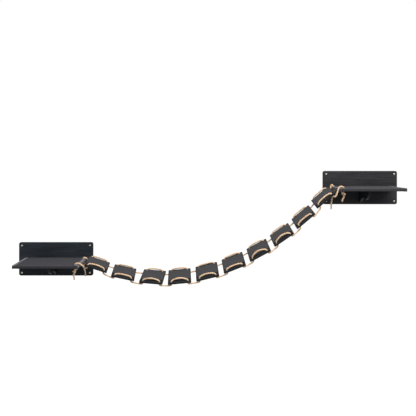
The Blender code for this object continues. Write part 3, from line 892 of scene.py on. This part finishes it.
def rope_finish(settings):
    """Natural fibre: yarns that run along the rope, with painted shade where the strands meet."""
    paint = Paint("natural_rope")
    along, angle, _ = paint.apart(paint.node("ShaderNodeUVMap", {"uv_map": "along"}))
    spot = paint.place()
    drift = paint.noise(spot, 35, 2)
    fine = paint.noise(spot, 900, 3, 0.6)
    yarn_angle = angle + along * (1 / settings.lay_length) + fine * 0.012
    yarns = (yarn_angle * (2 * math.pi * settings.yarns)).sine() * 0.5 + 0.5
    turn = angle * (math.pi * STRANDS)
    lobe = turn.math("COSINE", turn).size()
    # Painted shade: the valleys between the strands are darkened towards the valley colour
    valley_shade = 1 - lobe.ramp(0.05, 0.55)
    tone = drift.ramp(0.35, 0.65) * 0.5 + yarns * 0.25
    base = paint.mix(tone, shade(settings.colour), shade(settings.warm_colour))
    base = paint.mix(fine.ramp(0.45, 0.75) * 0.30, base, shade(settings.colour, 1.18))
    base = paint.mix(valley_shade * 0.75, base, shade(settings.shadow_colour))
    paint.set(Base_Color=base, Roughness=0.86 - fine * 0.1)
    paint.set(Sheen_Weight=0.25, Sheen_Roughness=0.5, Specular_IOR_Level=0.25)
    paint.bump(yarns * 0.6 + fine * 0.5, 0.55, 0.0004)
    return paint.owner


def felt_finish(settings, half):
    """Matt felt: matted fibres, a painted highlight along the rounded front edge, and streaked pale
    strips at the ends.
    """
    paint = Paint("grey_felt")
    spot = paint.place()
    fibres = paint.noise(spot, 1500, 5, 0.7, 1.2)
    matted = paint.noise(spot, 190, 4, 0.6, 0.8)
    broad = paint.noise(spot, 14, 2)
    tone = matted.ramp(0.25, 0.75) * 0.5 + fibres * 0.3 + broad * 0.2
    base = paint.mix(tone, shade(settings.colour, 0.62), shade(settings.colour, 1.45))
    flecks = fibres.ramp(0.66, 0.82) * 0.35
    base = paint.mix(flecks, base, shade(settings.colour, 2.6))
    across, depth, height = paint.apart(spot)
    edge = half.x - settings.end_strip
    strip = across.size().ramp(edge - STRIP_BLEND, edge + STRIP_BLEND)
    streaks = paint.noise(spot, (60, 170, 60), 3, 0.6, 0.4).ramp(0.32, 0.68)
    behind = (depth + half.y).ramp(*STRIP_START)
    # The front fold mask is a painted highlight where the front edge rounds over under the light
    # from above
    fold = height.ramp(*(half.z - drop for drop in FRONT_HIGHLIGHT_DEPTHS)) * (1 - behind)
    share = strip * behind * (streaks * 0.75 + 0.25) + fold * FRONT_HIGHLIGHT_SHARE
    paint.set(Base_Color=paint.mix(share, base, shade(settings.pale_and_highlight_colour)))
    paint.set(Roughness=0.92 + fibres * 0.06, Sheen_Weight=0.03, Sheen_Roughness=0.5)
    paint.set(Specular_IOR_Level=0.05)
    paint.bump(fibres * 0.5 + matted * 0.8, 0.6, 0.0006)
    return paint.owner


def pad_finish(settings):
    """Looped pile: rows of small loops, with a painted highlight on each crown and painted shade
    between the loops.
    """
    paint = Paint("textured_pad")
    spot = paint.place()
    loops = 1 / settings.loop_size
    wobble = paint.noise(spot, 90, 2)
    spread = paint.vector("MULTIPLY", spot, (loops, loops * 0.62, loops))
    values = {"Vector": spread, "Scale": 1.0, "Randomness": 0.55}
    cells = paint.node("ShaderNodeTexVoronoi", {"feature": "SMOOTH_F1"}, values)
    fibres = paint.noise(spot, 1700, 4, 0.65)
    # Painted light: each loop's crown is painted lighter and the hollows between the loops darker
    crown = 1 - cells.ramp(0.05, 0.75)
    tone = crown * 0.6 + fibres * 0.3 + wobble * 0.1
    base = paint.mix(tone, shade(settings.colour, 0.45), shade(settings.colour, 1.55))
    paint.set(Base_Color=base, Roughness=0.9 + fibres * 0.08)
    paint.set(Sheen_Weight=0.08, Sheen_Roughness=0.5, Specular_IOR_Level=0.1)
    paint.bump(crown + fibres * 0.35, 0.8, 0.0011)
    return paint.owner


def stain_finish(settings, name, matrix, plies, seed, colour):
    """Black stain on wood: open grain under a satin film, rubbed a little at the edges, which also
    carry a painted glint.
    """
    paint = Paint(name)
    spot = paint.place(matrix)
    spot = paint.vector("ADD", spot, tuple(seed * shift for shift in SEED_SHIFTS))
    grain = paint.noise(spot, (9, 170, 170), 6, 0.62, 0.6)
    figure = paint.noise(spot, (2.2, 22, 22), 3, 0.5, 1.4)
    pores = paint.noise(spot, (70, 2200, 2200), 2).ramp(0.60, 0.72)
    tone = grain.ramp(0.3, 0.7) * 0.6 + figure.ramp(0.35, 0.65) * 0.4
    base = paint.mix(tone, shade(colour, 0.6), shade(colour, 1.5))
    base = paint.mix(pores * 0.6, base, shade(colour, 0.3))
    if plies:
        height = paint.apart(paint.place(matrix))[2]
        layers = (height * (2 * math.pi / plies)).sine() * 0.5 + 0.5
        way = paint.node("ShaderNodeNewGeometry", output="Normal")
        face_up = tuple(matrix.to_3x3() @ UP)
        flat = paint.vector("DOT_PRODUCT", way, face_up, "Value").size()
        base = paint.mix((1 - flat.ramp(0.3, 0.7)) * layers * 0.4, base, shade(settings.ply_colour))
    # The lighter edges are partly rubbed wear and partly a painted glint where the edges catch the
    # light
    rubbed_glint = paint.rubbed_glint_edges(settings.wear_glint_radius) * grain.ramp(0.25, 0.6)
    base = paint.mix(rubbed_glint * settings.wear_glint, base, shade(settings.rubbed_glint_colour))
    paint.set(Base_Color=base, Roughness=settings.roughness + grain * 0.14)
    paint.set(Specular_IOR_Level=settings.gloss)
    paint.bump(grain * 0.5 + figure * 0.2 - pores * 0.6, 0.35, 0.0003)
    return paint.owner


def zinc_finish(settings):
    """Zinc plate: bright, a little uneven, with fine turning marks."""
    paint = Paint("zinc_plate")
    spot = paint.place()
    cloud = paint.noise(spot, 260, 3)
    marks = paint.noise(spot, 2600, 2)
    base = paint.mix(cloud, shade(settings.colour, 0.82), shade(settings.colour, 1.08))
    paint.set(Base_Color=base, Roughness=0.30 + cloud * 0.14 + marks * 0.06)
    paint.set(Metallic=1.0)
    paint.bump(marks, 0.15, 0.00008)
    return paint.owner


# Settings

def length_property(name, default, about):
    return bpy.props.FloatProperty(
        name=name, description=about, default=default, min=0.0, soft_max=1.0, precision=5,
        subtype="DISTANCE", unit="LENGTH",
    )


def colour_property(name, default, about):
    return bpy.props.FloatVectorProperty(
        name=name, description=about, default=default, size=3, min=0.0, max=1.0, subtype="COLOR",
    )


def share_property(name, default, about, most=1.0):
    return bpy.props.FloatProperty(
        name=name, description=about, default=default, min=0.0, max=most, subtype="FACTOR",
    )


def count_property(name, default, about, least, most):
    return bpy.props.IntProperty(
        name=name, description=about, default=default, min=least, max=most,
    )


def power_property(name, default, about):
    return bpy.props.FloatProperty(
        name=name, description=about, default=default, min=0.0, unit="POWER",
    )


class RopeSettings(bpy.types.PropertyGroup):
    """The bridge's ropes."""

    diameter: length_property("Diameter", 0.0080, "Thickness of the rope over its strands")
    lay_length: length_property("Lay length", 0.0260, "Length of one full turn of the strands")
    spacing: length_property("Spacing", 0.0016, "Distance between the rings of the rope's mesh")
    unevenness: share_property("Unevenness", 0.035, "How much the thickness wanders")
    yarns: count_property("Yarns", 27, "Yarns around the rope", 3, 60)
    fuzz_density: bpy.props.FloatProperty(
        name="Fuzz", description="Loose fibres on each metre of rope", default=260.0, min=0.0,
    )
    fuzz_length: length_property("Fuzz length", 0.0070, "Length of the loose fibres")
    fuzz_gap: length_property("Fuzz gap", 0.0030, "Least distance from loose fibres to a tread")
    fibre_radius: length_property("Fibre radius", 0.00007, "Half the thickness of a loose fibre")
    fray_count: count_property("Fray", 70, "Loose fibres at each cut end", 0, 400)
    fray_length: length_property("Fray length", 0.0060, "Length of the fibres at a cut end")
    colour: colour_property("Colour", (1.0, 0.75, 0.52), "Colour of the fibre in the light")
    warm_colour: colour_property("Warm colour", (0.90, 0.56, 0.31), "Colour of the darker yarns")
    shadow_colour: colour_property("Valley colour", (0.29, 0.130, 0.048), "Colour between strands")


class FeltSettings(bpy.types.PropertyGroup):
    """The felt covers of the platforms."""

    thickness: length_property("Thickness", 0.0018, "Thickness of the felt")
    hem: length_property("Hem", 0.034, "Width that is turned under the platform")
    corner_radius: length_property("Corner radius", 0.0081, "Radius of the corners from above")
    edge_radius: length_property("Edge radius", 0.0030, "Radius of the folds at the edges")
    cell: length_property("Cell", 0.0040, "Size of the cover's mesh cells")
    wrinkle: length_property("Slack", 0.0006, "How far the felt lifts where it is slack")
    pile: length_property("Pile", 0.00012, "How far the felt's face is rough")
    fold: length_property("Fold", 0.0011, "Height of the folded pleats under the corners")
    hole_radius: length_property("Hole radius", 0.0050, "Radius of the rope holes")
    colour: colour_property("Colour", (0.0490, 0.0472, 0.0534), "Colour of the felt")
    # The pale colour of the end strips, also used for the painted highlight along the front edge
    pale_and_highlight_colour: colour_property("Pale", (0.290, 0.282, 0.303), "Colour of folds and end strips")
    end_strip: length_property("End strip", 0.0135, "Width of the strip folded over at each end")
    groove: length_property("Groove", 0.0009, "Depth of the groove along each end strip")


class PadSettings(bpy.types.PropertyGroup):
    """The textured pads on the treads."""

    corner_radius: length_property("Corner radius", 0.0050, "Radius of the corners from above")
    edge_radius: length_property("Edge radius", 0.0016, "Radius of the edges")
    cell: length_property("Cell", 0.0024, "Size of the pad's mesh cells")
    crown: length_property("Crown", 0.0006, "How far the middle stands above the edges")
    pile: length_property("Pile", 0.00022, "How far the pile is rough")
    loop_size: length_property("Loop size", 0.0026, "Width of one loop of the pile")
    fill: share_property("Fill", 0.9, "How firm the pad is")
    colour: colour_property("Colour", (0.0467, 0.0451, 0.0484), "Colour of the pile")


class WoodSettings(bpy.types.PropertyGroup):
    """The black-stained boards."""

    colour: colour_property("Stain", (0.0277, 0.0334, 0.0414), "Colour of the stained face")
    deep_colour: colour_property("Deep stain", (0.0134, 0.0143, 0.0161), "Treads and brackets")
    # The right plate's stain, painted paler to stand in for the stronger light that falls on the
    # right
    lit_plate_colour: colour_property("Faded stain", (0.0330, 0.0317, 0.0357), "The paler plate")
    # Colour of the rubbed edges, which also serves as their painted glint
    rubbed_glint_colour: colour_property("Worn edge", (0.067, 0.061, 0.055), "Colour of rubbed edges")
    ply_colour: colour_property("Ply", (0.040, 0.034, 0.0286), "Colour of the lighter plies")
    # How strongly and how wide the edges are lightened, for rubbed wear and a painted glint
    wear_glint: share_property("Wear", 0.45, "How much the edges are rubbed")
    wear_glint_radius: length_property("Wear width", 0.0016, "Width of the rubbed edges")
    roughness: share_property("Roughness", 0.48, "Roughness of the satin film")
    gloss: share_property("Gloss", 0.07, "Strength of the film's reflection")
    ply: length_property("Ply thickness", 0.0030, "Thickness of two plies of a board")


class ScrewSettings(bpy.types.PropertyGroup):
    """The screws."""

    pan_radius: length_property("Pan head radius", 0.0048, "Radius of a wall screw's head")
    pan_height: length_property("Pan head height", 0.0030, "Height of a wall screw's head")
    pan_shank: length_property("Wall shank radius", 0.0022, "Radius of a wall screw's shank")
    sunk_radius: length_property("Sunk head radius", 0.0038, "Radius of a countersunk head")
    sunk_shank: length_property("Sunk shank radius", 0.0017, "Radius of a countersunk shank")
    recess_width: length_property("Recess width", 0.0011, "Width of a blade of the recess")
    recess_depth: length_property("Recess depth", 0.0017, "Depth of the cross recess")
    colour: colour_property("Colour", (0.47, 0.45, 0.37), "Colour of the plate")


class StageSettings(bpy.types.PropertyGroup):
    """The studio."""

    floor_depth: bpy.props.FloatProperty(
        name="Floor", description="Height of the floor", default=-0.85, subtype="DISTANCE",
        unit="LENGTH",
    )
    floor_colour: colour_property("Floor colour", (0.375, 0.375, 0.375), "Colour of the floor")
    floor_glow: share_property("Floor glow", 0.85, "Light the camera sees from the floor itself")
    ambient: share_property("Ambient", 0.2575, "Strength of the light from all around", 2.0)
    key_power: power_property("Key", 110.0, "Power of the main lamp")
    fill_power: power_property("Fill", 49.0, "Power of the second lamp")


class WalkwaySettings(bpy.types.PropertyGroup):
    """All of the walkway's settings."""

    rope: bpy.props.PointerProperty(type=RopeSettings)
    felt: bpy.props.PointerProperty(type=FeltSettings)
    pads: bpy.props.PointerProperty(type=PadSettings)
    wood: bpy.props.PointerProperty(type=WoodSettings)
    screws: bpy.props.PointerProperty(type=ScrewSettings)
    stage: bpy.props.PointerProperty(type=StageSettings)


# The making of each piece

class ThreadRopes(bpy.types.Operator):
    """Threads the near and far ropes through the platforms and treads"""

    bl_idname = "walkway.thread_ropes"
    bl_label = "Thread Ropes"

    def execute(self, context):
        settings = context.scene.walkway.rope
        finish = rope_finish(settings)
        half = tread_board_size() / 2 + Vector([settings.fuzz_gap] * 3)
        boards = [tread_matrix(tread).inverted() for tread in TREADS]

        def blocked(spot):
            places = (board @ spot for board in boards)
            return any(all(abs(place[i]) < half[i] for i in range(3)) for place in places)

        for number, rope in enumerate(ROPE_SIDES):
            line = smoothed(evenly(rope_route(rope, settings.diameter), settings.spacing), 2)
            bm = bmesh.new()
            add_twisted_tube(bm, line, settings, seed=number)
            add_fuzz(bm, line, settings, SEEDS["rope_fuzz"] + number, blocked)
            new_rope_piece(f"{rope}_twisted_rope", bm, finish, f"{rope}_rope")
        return {"FINISHED"}


class TieKnots(bpy.types.Operator):
    """Ties the stopper knot under each platform hole, with its loose tail"""

    bl_idname = "walkway.tie_knots"
    bl_label = "Tie Knots"

    def execute(self, context):
        settings = context.scene.walkway.rope
        finish = bpy.data.materials.get("natural_rope") or rope_finish(settings)
        shape = knot_line(settings.diameter)
        for number, (side, rope) in enumerate(TAILS):
            seat = platform_hole(side, rope)
            seat.z = platform_corners(side)[0].z
            turned = Matrix.Rotation(KNOT_FACINGS[side, rope], 3, "Z")
            line = [tuple(seat + turned @ Vector(point)) for point in shape]
            line = smoothed(evenly([seat + UP * KNOT_ENTRY] + line, settings.spacing), 3)
            bm = bmesh.new()
            add_twisted_tube(bm, line, settings, seed=SEEDS["knot"] + number)
            add_fuzz(bm, line, settings, SEEDS["knot_fuzz"] + number)
            name = f"{side}_{rope}"
            new_rope_piece(f"{name}_overhand_knot", bm, finish, f"{name}_knot")
            route = self.tail_route(Vector(line[-1]), seat, *TAILS[side, rope])
            self.hang_tail(settings, finish, name, route, number)
        return {"FINISHED"}

    def tail_route(self, start, seat, drop, reach, swing):
        clear = start - UP * ROPE_STRAIGHT
        end = seat + Vector((reach, 0, -drop))
        pull = UP * (end.z - clear.z) / 2
        return [start] + curve_points(clear, pull + Vector((swing, 0, 0)), end, pull)

    def hang_tail(self, settings, finish, name, route, number):
        line = evenly(route, settings.spacing)
        bm = bmesh.new()
        add_twisted_tube(bm, line, settings, KNOT_ROPE_LENGTH, SEEDS["tail"] + number)
        tail = new_rope_piece(f"{name}_rope_tail", bm, finish, f"{name}_tail")
        bm = bmesh.new()
        add_fuzz(bm, line, settings, SEEDS["tail_fuzz"] + number)
        way = Vector(line[-1] - line[-3]).normalized()
        add_fray(bm, Vector(line[-1]), way, settings, SEEDS["fray"] + number)
        fray = new_rope_piece(f"{name}_tail_fray", bm, finish)
        length = float(line_steps(line).sum())
        if length >= LEAST_CORD * settings.diameter:
            tuple(route[0])


class WrapFelt(bpy.types.Operator):
    """Wraps each platform board in its felt cover"""

    bl_idname = "walkway.wrap_felt"
    bl_label = "Wrap Felt"

    def execute(self, context):
        settings = context.scene.walkway.felt
        low, high = platform_corners("left")
        finish = felt_finish(settings, (high - low) / 2)
        for number, side in enumerate(SHELF_SIDES):
            low, high = platform_corners(side)
            half = (high - low) / 2
            skin = felt_skin(settings, half, FELT_SEED_STEP * number)
            data = finish_mesh(skin, f"{side}_felt", True)
            cover = new_piece(
                f"{side}_felt_cover", data, finish, SHELF_BODY,
                [f"{side}_platform_felt"], Matrix.Translation((high + low) / 2),
            )
            holes = [Matrix.Translation(platform_hole(side, rope)) for rope in ROPE_SIDES]
            cut_with(cover, round_tool(settings.hole_radius, 4 * half.z), holes)
        return {"FINISHED"}


class LayPads(bpy.types.Operator):
    """Lays the textured pad on every tread"""

    bl_idname = "walkway.lay_pads"
    bl_label = "Lay Pads"

    def execute(self, context):
        settings = context.scene.walkway.pads
        finish = pad_finish(settings)
        for number, tread in enumerate(TREADS):
            matrix = tread_matrix(tread)
            low, high = corners_along(f"{tread}_pad", matrix)
            data = finish_mesh(pad_form(settings, (high - low) / 2, number), f"{tread}_pad", True)
            pad = new_piece(
                f"{tread}_textured_pad", data, finish, tread, [f"{tread}_pad"],
                matrix @ Matrix.Translation((low + high) / 2),
            )
        return {"FINISHED"}


class StainWood(bpy.types.Operator):
    """Stains the plates, platforms, brackets and treads black"""

    bl_idname = "walkway.stain_wood"
    bl_label = "Stain Wood"

    def execute(self, context):
        settings = context.scene.walkway.wood
        ply, deep = settings.ply, settings.deep_colour
        level, upright = Matrix.Identity(4), Matrix.Rotation(math.pi / 2, 4, "Y")
        # Painted light: the right plate gets a paler copy of the stain, for the stronger light on
        # the right
        plates = {"left": settings.colour, "right": settings.lit_plate_colour}
        rows = []
        for number, side in enumerate(SHELF_SIDES):
            seed = SIDE_SEED_STEP * number
            rows += [
                (f"{side}_back_plate", f"{side}_plate_stain", level, 0.0, seed, plates[side]),
                (f"{side}_platform_board", f"{side}_platform_stain", level, ply, seed + 1, deep),
                (f"{side}_bracket", f"{side}_bracket_stain", upright, 0.0, seed + 2, deep),
            ]
        for seed, tread in enumerate(TREADS, BOARD_SEED):
            rows.append((f"{tread}_board", f"{tread}_stain", tread_matrix(tread), ply, seed, deep))
        for node, *row in rows:
            dress(node, stain_finish(settings, *row))
        return {"FINISHED"}


class FitScrews(bpy.types.Operator):
    """Fits the wall screws and the screws driven from behind"""

    bl_idname = "walkway.fit_screws"
    bl_label = "Fit Screws"

    def execute(self, context):
        settings = context.scene.walkway.screws
        finish = zinc_finish(settings)
        rng = random.Random(SEEDS["screw_turn"])
        for side in SHELF_SIDES:
            for number in range(1, 5):
                self.fit(settings, finish, rng, f"{side}_wall_screw_{number}", pan=True)
            for name in ("platform_screw_a", "platform_screw_b", "bracket_rear_screw"):
                self.fit(settings, finish, rng, f"{side}_{name}", pan=False)
            dress(f"{side}_bracket_top_screw", finish)
        return {"FINISHED"}

    def fit(self, settings, finish, rng, node, pan):
        low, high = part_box(node)
        height = settings.pan_height if pan else 0.0
        length = high.y - low.y - height
        name = f"screw_{pan}_{length:.4f}"
        data = bpy.data.meshes.get(name) or self.screw_mesh(settings, pan, length, name)
        face = low.y + height if pan else high.y
        way = math.pi / 2 if pan else -math.pi / 2
        matrix = (
            Matrix.Translation(((low.x + high.x) / 2, face, (low.z + high.z) / 2))
            @ Matrix.Rotation(way, 4, "X")
            @ Matrix.Rotation(rng.uniform(0, math.pi / 2), 4, "Z")
        )
        new_piece(f"{node}_zinc", data, finish, SHELF_BODY, [node], matrix)

    def screw_mesh(self, settings, pan, length, name):
        """A screw with its head's seat or flat face at height 0 and its point downwards."""
        if pan:
            radius, shank, top = settings.pan_radius, settings.pan_shank, settings.pan_height
            profile, tip = [], 0.0
            for i in range(DOME_STEPS + 1):
                angle = math.pi / 2 * i / DOME_STEPS
                rise = DOME_RIM + (1 - DOME_RIM) * math.cos(angle) ** DOME_SHAPE
                profile.append((radius * math.sin(angle), top * rise))
            profile += [(radius, 0), (shank, 0)]
        else:
            radius, shank, top = settings.sunk_radius, settings.sunk_shank, 0.0
            tip = POINT_LENGTH * shank
            profile = [(0, 0), (radius - SUNK_EDGE, 0), (radius, -SUNK_EDGE)]
            profile.append((shank, shank - radius))
        profile += [(shank, tip - length), (0, -length)]
        data = finish_mesh(turned_form(profile, SCREW_SIDES), name, True)
        blank = new_object("screw_blank", data)
        reach, place = radius * RECESS_REACH, Matrix.Translation((0, 0, top))
        for tool in cross_recess(settings.recess_width, reach, settings.recess_depth):
            cut_with(blank, tool, [place])
        data = blank.data
        bpy.data.objects.remove(blank)
        return data


class BuildStage(bpy.types.Operator):
    """Sets the floor, the lamps, the surroundings and the camera"""

    bl_idname = "walkway.build_stage"
    bl_label = "Build Stage"

    def execute(self, context):
        settings = context.scene.walkway.stage
        self.lay_floor(settings)
        self.light_world(context.scene, settings)
        for name, (place, aim) in LAMPS.items():
            self.hang_lamp(name, place, aim, getattr(settings, f"{name}_power"))
        lens = bpy.data.cameras.new("camera")
        lens.lens, lens.sensor_width = CAMERA_LENS, CAMERA_SENSOR
        lens.shift_x, lens.shift_y = CAMERA_SHIFT
        matrix = Matrix.Translation(CAMERA_PLACE) @ Matrix.Rotation(math.pi / 2, 4, "X")
        context.scene.camera = new_object("camera", lens, matrix)
        context.scene.view_settings.view_transform = "Standard"
        return {"FINISHED"}

    def lay_floor(self, settings):
        bm = bmesh.new()
        bmesh.ops.create_grid(bm, x_segments=2, y_segments=2, size=FLOOR_REACH)
        data = finish_mesh(bm, "studio_floor")
        paint = Paint("studio_floor")
        paint.set(Base_Color=shade(settings.floor_colour), Roughness=0.9)
        values = {"Color": shade(WHITE), "Strength": settings.floor_glow}
        glow = paint.node("ShaderNodeEmission", None, values)
        plain = Wire(paint, paint.shader.outputs[0])
        paint.show(paint.node("ShaderNodeAddShader", None, {0: plain, 1: glow}))
        data.materials.append(paint.owner)
        place = Matrix.Translation((0, 0, settings.floor_depth))
        new_object("studio_floor", data, place)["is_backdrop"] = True

    def light_world(self, scene, settings):
        """A soft light from all around, behind a white that only the camera sees."""
        paint = Paint("studio", "worlds")
        paint.set(Color=shade(SKY_COLOUR), Strength=settings.ambient)
        values = {"Color": shade(WHITE), "Strength": 1.0}
        paint.show(paint.node("ShaderNodeBackground", None, values))
        scene.world = paint.owner

    def hang_lamp(self, name, place, aim, power):
        light = bpy.data.lights.new(f"{name}_lamp", "AREA")
        light.shape, light.size, light.energy = "DISK", LAMP_SIZE, power
        turned = (Vector(aim) - Vector(place)).to_track_quat("-Z", "Y").to_matrix().to_4x4()
        new_object(f"{name}_lamp", light, Matrix.Translation(place) @ turned)


class WalkwayPanel(bpy.types.Panel):
    """The walkway's makers and settings"""

    bl_idname = "VIEW3D_PT_walkway"
    bl_label = "Cat Wall Walkway"
    bl_space_type = "VIEW_3D"
    bl_region_type = "UI"
    bl_category = "Walkway"

    def draw(self, context):
        for maker in MAKERS:
            self.layout.operator(maker.bl_idname)
        walkway = context.scene.walkway
        for group in WalkwaySettings.__annotations__:
            box = self.layout.box()
            box.label(text=group.title())
            settings = getattr(walkway, group)
            for name in settings.__annotations__:
                box.prop(settings, name)


SETTINGS = (
    RopeSettings, FeltSettings, PadSettings, WoodSettings, ScrewSettings, StageSettings,
    WalkwaySettings,
)
MAKERS = (ThreadRopes, TieKnots, WrapFelt, LayPads, StainWood, FitScrews, BuildStage)


def register():
    for kind in (*SETTINGS, *MAKERS, WalkwayPanel):
        bpy.utils.register_class(kind)
    bpy.types.Scene.walkway = bpy.props.PointerProperty(type=WalkwaySettings)


def unregister():
    del bpy.types.Scene.walkway
    for kind in reversed((*SETTINGS, *MAKERS, WalkwayPanel)):
        bpy.utils.unregister_class(kind)


def main():
    register()
    bpy.ops.walkway.thread_ropes()
    bpy.ops.walkway.tie_knots()
    bpy.ops.walkway.wrap_felt()
    bpy.ops.walkway.lay_pads()
    bpy.ops.walkway.stain_wood()
    bpy.ops.walkway.fit_screws()
    bpy.ops.walkway.build_stage()
    bpy.context.view_layer.update()
    boxes = {"cad": CAD_BOX, "visual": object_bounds()}
    sizes = {name: [[float(n) for n in corner] for corner in box] for name, box in boxes.items()}


if __name__ == "__main__":
    main()
